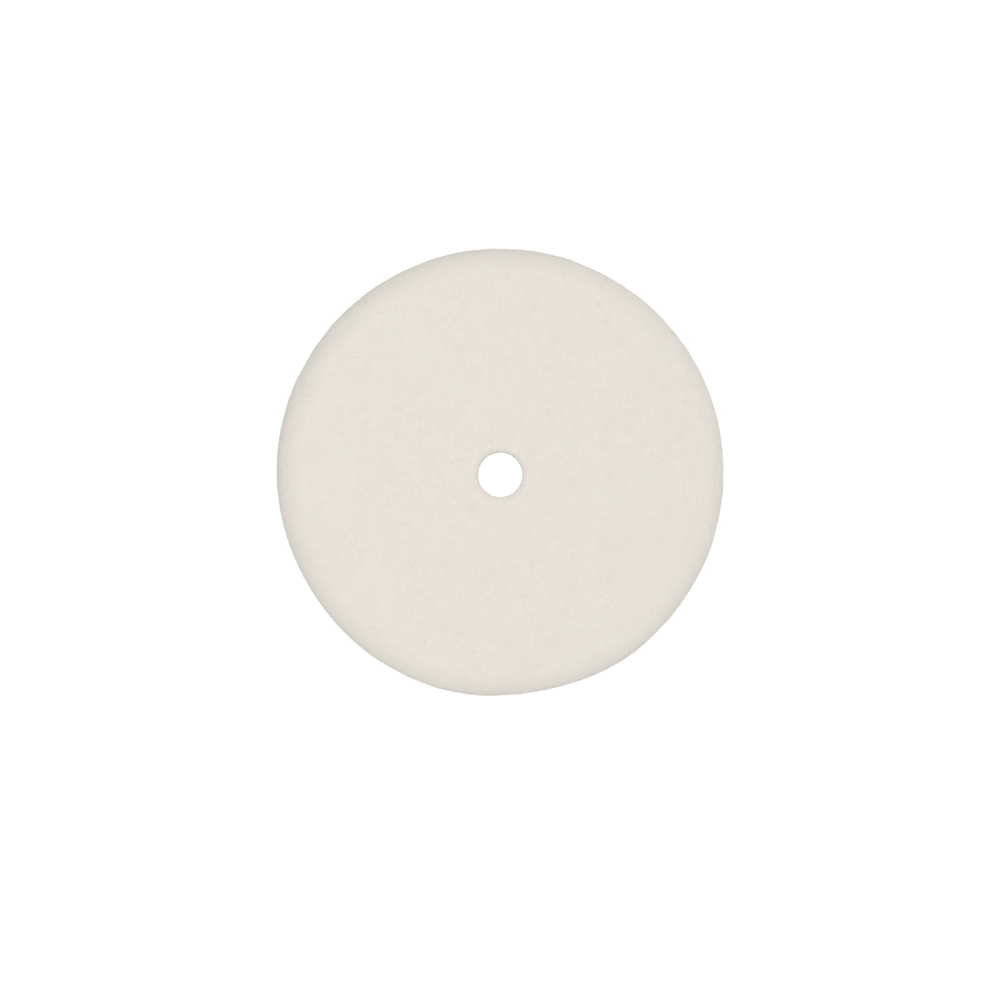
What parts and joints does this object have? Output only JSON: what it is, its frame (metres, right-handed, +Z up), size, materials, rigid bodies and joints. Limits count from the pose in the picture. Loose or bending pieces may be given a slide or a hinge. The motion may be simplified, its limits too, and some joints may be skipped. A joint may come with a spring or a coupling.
{
  "type": "felt polishing wheel",
  "caption": "Built-up felt polishing wheel with rounded shoulders and a plain arbor hole with rounded mouths, for a lapidary polishing spindle.",
  "frame": {"origin": "centre of the wheel, on the arbor hole's axis, halfway between the two faces", "axes": "+Y along the arbor hole, from the front face to the back face; +Z up; the front face looks along -Y"},
  "size_m": [0.127, 0.0254, 0.127],
  "materials": {
    "wool_felt": "dense pressed wool felt, off-white, matt, with a short nap",
    "felt_cement": "dried contact cement, amber, satin"
  },
  "bodies": {
    "root": {"front_face_ply": "wool_felt", "front_inner_ply": "wool_felt", "middle_ply": "wool_felt", "back_inner_ply": "wool_felt", "back_face_ply": "wool_felt", "front_face_cement": "felt_cement", "front_inner_cement": "felt_cement", "back_inner_cement": "felt_cement", "back_face_cement": "felt_cement"}
  },
  "joints": []
}
